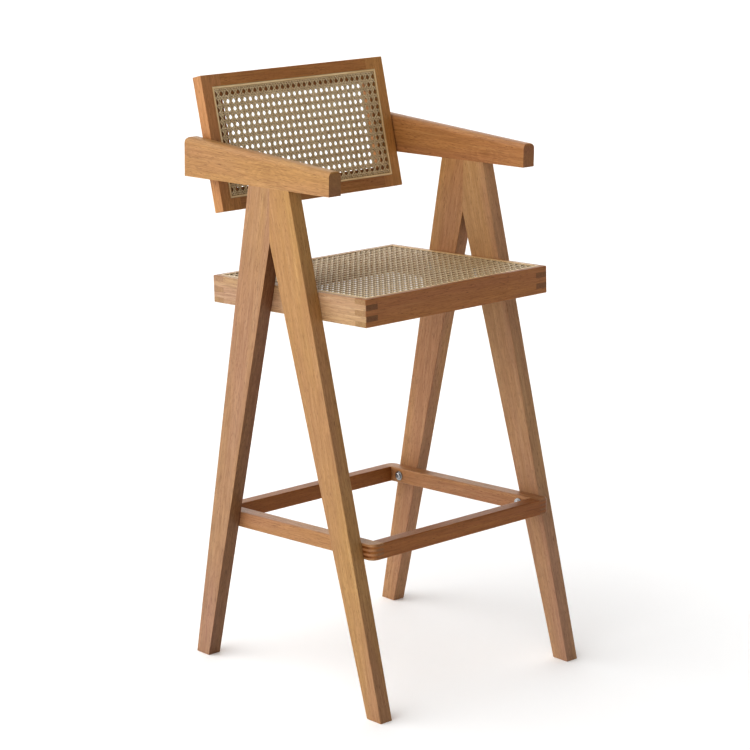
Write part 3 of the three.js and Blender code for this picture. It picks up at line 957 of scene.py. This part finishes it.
def washer_mesh():
    outer, bore, tall, ease = 9.2, 3.4, 1.6, 0.3
    rounded = [(outer - ease, 0), (outer - 0.08, ease / 3), (outer, ease)]
    back = [(outer, tall - ease), (outer - ease, tall)]
    return turned_mesh([(bore, 0), *rounded, *back, (bore, tall), (bore, 0)])


for group in ("seat", "footrest"):
    for end in ENDS:
        for side_name, side in SIDES.items():
            tail = f"{end}_{side_name}"
            low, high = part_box(f"{group}_bolt_{tail}")
            metal = {"bolt": bolt_mesh((high.x - low.x) / MM), "washer": washer_mesh()}
            for kind, mesh in metal.items():
                node = f"{group}_{kind}_{tail}"
                turned = outward(node, side)
                smooth(place_piece(f"{node}_metal", mesh, turned, ZINC, [node]))

# The hidden dowels keep their CAD shape, with their fibres lengthwise.
FIBRES_ALONG, FIBRES_ACROSS = 30, 900
DOWEL_WOODS = {
    "arm": dowel_material("dowel_upright", (FIBRES_ACROSS, FIBRES_ACROSS, FIBRES_ALONG)),
    "leg": dowel_material("dowel_along_y", (FIBRES_ACROSS, FIBRES_ALONG, FIBRES_ACROSS)),
    "back": dowel_material("dowel_along_x", (FIBRES_ALONG, FIBRES_ACROSS, FIBRES_ACROSS)),
}
for name, dowel in nodes.items():
    place, kind = name.split("_")[:2]
    if kind == "dowel":
        dowel.data.materials.clear()
        dowel.data.materials.append(DOWEL_WOODS[place])


# ---- Studio ------------------------------------------------------------------------------

FLOOR_REACH = 300.0  # metres, so that its edge is never seen


def make_floor():
    bm = bmesh.new()
    bmesh.ops.create_grid(bm, x_segments=4, y_segments=4, size=FLOOR_REACH)
    floor = new_object("studio_floor", mesh_from(bm))
    floor.data.materials.append(floor_material())


def make_sky():
    """A white studio: a wide window high on the left, a pale wall behind, and a white horizon."""
    world = bpy.data.worlds.new("studio")
    bpy.context.scene.world = world
    world.use_nodes = True
    tree = world.node_tree

    def node(kind, inputs, **settings):
        made = tree.nodes.new(kind)
        for key, value in settings.items():
            setattr(made, key, value)
        for key, value in inputs.items():
            if isinstance(value, bpy.types.NodeSocket):
                tree.links.new(value, made.inputs[key])
            else:
                made.inputs[key].default_value = value
        return made.outputs

    def lobe(toward, low, high, dim, bright):
        """Light that goes from dim to bright as a direction comes nearer to the lobe's middle."""
        middle = Vector(toward).normalized()
        facing = node("ShaderNodeVectorMath", {0: direction, 1: middle}, operation="DOT_PRODUCT")
        limits = {"From Min": low, "From Max": high, "To Min": dim, "To Max": bright}
        inputs = {"Value": facing["Value"], **limits}
        return node("ShaderNodeMapRange", inputs, interpolation_type="SMOOTHSTEP")[0]

    direction = tree.nodes.new("ShaderNodeTexCoord").outputs["Generated"]
    window = lobe((-0.85, 0.31, 0.42), 0.3, 1.0, 0.14, 1.90)
    wall = lobe((0.66, 0.71, 0.24), 0.55, 0.95, 0.0, 1.1)
    horizon = lobe(Z, 0.15, 0.30, 0.80, 0.0)
    both = node("ShaderNodeMath", {0: window, 1: wall}, operation="ADD")[0]
    level = node("ShaderNodeMath", {0: both, 1: horizon}, operation="MAXIMUM")[0]
    background = tree.nodes["Background"]
    tree.links.new(level, background.inputs["Strength"])
    background.inputs["Color"].default_value = (1, 1, 1, 1)


def make_camera():
    azimuth, elevation, roll = math.radians(-43.17), math.radians(13.98), math.radians(0.57)
    distance, target = 4.916, Vector((-0.0194, 0.0, 0.546))
    flat = math.cos(elevation)
    backward = Vector((math.sin(azimuth) * flat, -math.cos(azimuth) * flat, math.sin(elevation)))
    camera = bpy.data.objects.new("camera", bpy.data.cameras.new("camera"))
    bpy.context.scene.collection.objects.link(camera)
    camera.data.sensor_width = 36.0
    camera.data.lens = 127.67
    camera.data.clip_end = 100.0
    camera.location = target + backward * distance
    look = (-backward).to_track_quat("-Z", "Y").to_matrix().to_4x4()
    camera.rotation_euler = (look @ Matrix.Rotation(roll, 4, "Z")).to_euler()
    bpy.context.scene.camera = camera


make_floor()
make_sky()
make_camera()
bpy.context.scene.view_settings.view_transform = "Standard"
bpy.context.scene.view_settings.look = "High Contrast"
